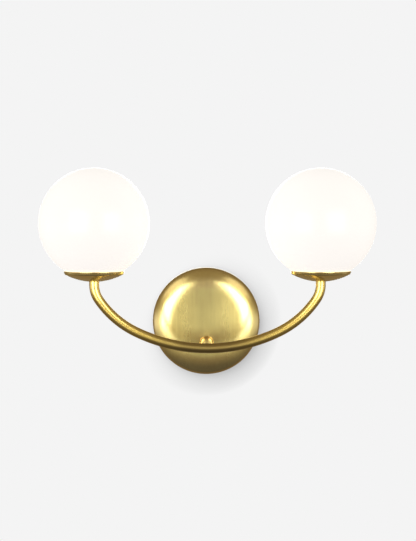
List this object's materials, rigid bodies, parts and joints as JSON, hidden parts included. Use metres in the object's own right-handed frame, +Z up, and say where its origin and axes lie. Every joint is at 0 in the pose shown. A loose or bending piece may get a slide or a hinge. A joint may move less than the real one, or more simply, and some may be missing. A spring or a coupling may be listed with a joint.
{
  "type": "vanity light",
  "caption": "Wall vanity light: opal glass globes screw on to fitters in brass dish cups at both ends of a bowed tube arm, held by a stem on a round domed backplate.",
  "frame": {"origin": "on the wall plane, behind the middle of the round backplate, midway between the strap's two slots", "axes": "+Z up, +X to the right as seen from the room, +Y into the wall, so the room is on the -Y side"},
  "size_m": [0.429, 0.1705, 0.2725],
  "materials": {
    "satin_brass": "satin, brushed and lacquered",
    "polished_brass": "polished",
    "plain_brass": "turned",
    "brass_screw": "satin",
    "zinc_steel": "zinc plated",
    "nickel_contact": "nickel plated",
    "green_screw": "green dyed",
    "black_insulation": "silicone sleeve",
    "white_insulation": "silicone sleeve",
    "green_insulation": "moulded sleeve",
    "orange_plastic": "moulded",
    "white_ceramic": "unglazed",
    "bulb_ceramic": "smooth",
    "clear_silicone": "soft",
    "opal_glass": "white cased, satin outside",
    "frosted_bulb": "frosted"
  },
  "bodies": {
    "fixture": {"wall_bracket": "zinc_steel", "backplate": "satin_brass", "backplate_screws": "brass_screw", "ground_screw": "green_screw", "stem_collar": "polished_brass", "stem": "satin_brass", "stem_nipple": "zinc_steel", "stem_lock_washer": "zinc_steel", "stem_locknut": "plain_brass", "arm": "satin_brass", "line_leads": "black_insulation", "neutral_leads": "white_insulation", "ground_lead": "green_insulation", "wire_nuts": "orange_plastic", "socket_rivets": "zinc_steel", "left_shade_cup": "satin_brass", "left_arm_nipple": "zinc_steel", "left_globe_fitter": "plain_brass", "left_fitter_ring": "plain_brass", "left_fitter_lock_washer": "zinc_steel", "left_fitter_locknut": "plain_brass", "left_socket_bracket": "zinc_steel", "left_socket": "white_ceramic", "left_socket_contacts": "nickel_contact", "right_shade_cup": "satin_brass", "right_arm_nipple": "zinc_steel", "right_globe_fitter": "plain_brass", "right_fitter_ring": "plain_brass", "right_fitter_lock_washer": "zinc_steel", "right_fitter_locknut": "plain_brass", "right_socket_bracket": "zinc_steel", "right_socket": "white_ceramic", "right_socket_contacts": "nickel_contact"},
    "left_gasket": {"left_globe_gasket": "clear_silicone"},
    "left_globe": {"left_globe": "opal_glass"},
    "left_bulb": {"left_bulb_base": "bulb_ceramic", "left_bulb_envelope": "frosted_bulb", "left_bulb_pins": "nickel_contact"},
    "right_gasket": {"right_globe_gasket": "clear_silicone"},
    "right_globe": {"right_globe": "opal_glass"},
    "right_bulb": {"right_bulb_base": "bulb_ceramic", "right_bulb_envelope": "frosted_bulb", "right_bulb_pins": "nickel_contact"}
  },
  "joints": [
    {"name": "left_globe_rise", "type": "slide", "parent": "fixture", "child": "left_gasket", "axis": [0, 0, 1], "range_m": [0, 0.0081]},
    {"name": "left_globe_turn", "type": "hinge", "parent": "left_gasket", "child": "left_globe", "pos_m": [-0.144, -0.1, 0.1311], "axis": [0, 0, 1], "range_deg": [0, 720]},
    {"name": "left_bulb_pull", "type": "slide", "parent": "fixture", "child": "left_bulb", "axis": [0, 0, 1], "range_m": [0, 0.017]},
    {"name": "right_globe_rise", "type": "slide", "parent": "fixture", "child": "right_gasket", "axis": [0, 0, 1], "range_m": [0, 0.0081]},
    {"name": "right_globe_turn", "type": "hinge", "parent": "right_gasket", "child": "right_globe", "pos_m": [0.144, -0.1, 0.1311], "axis": [0, 0, 1], "range_deg": [0, 720]},
    {"name": "right_bulb_pull", "type": "slide", "parent": "fixture", "child": "right_bulb", "axis": [0, 0, 1], "range_m": [0, 0.017]}
  ],
  "couplings": [
    {"joint": "left_globe_rise", "follows": "left_globe_turn", "m_per_rad": 0.00063662},
    {"joint": "right_globe_rise", "follows": "right_globe_turn", "m_per_rad": 0.00063662}
  ]
}
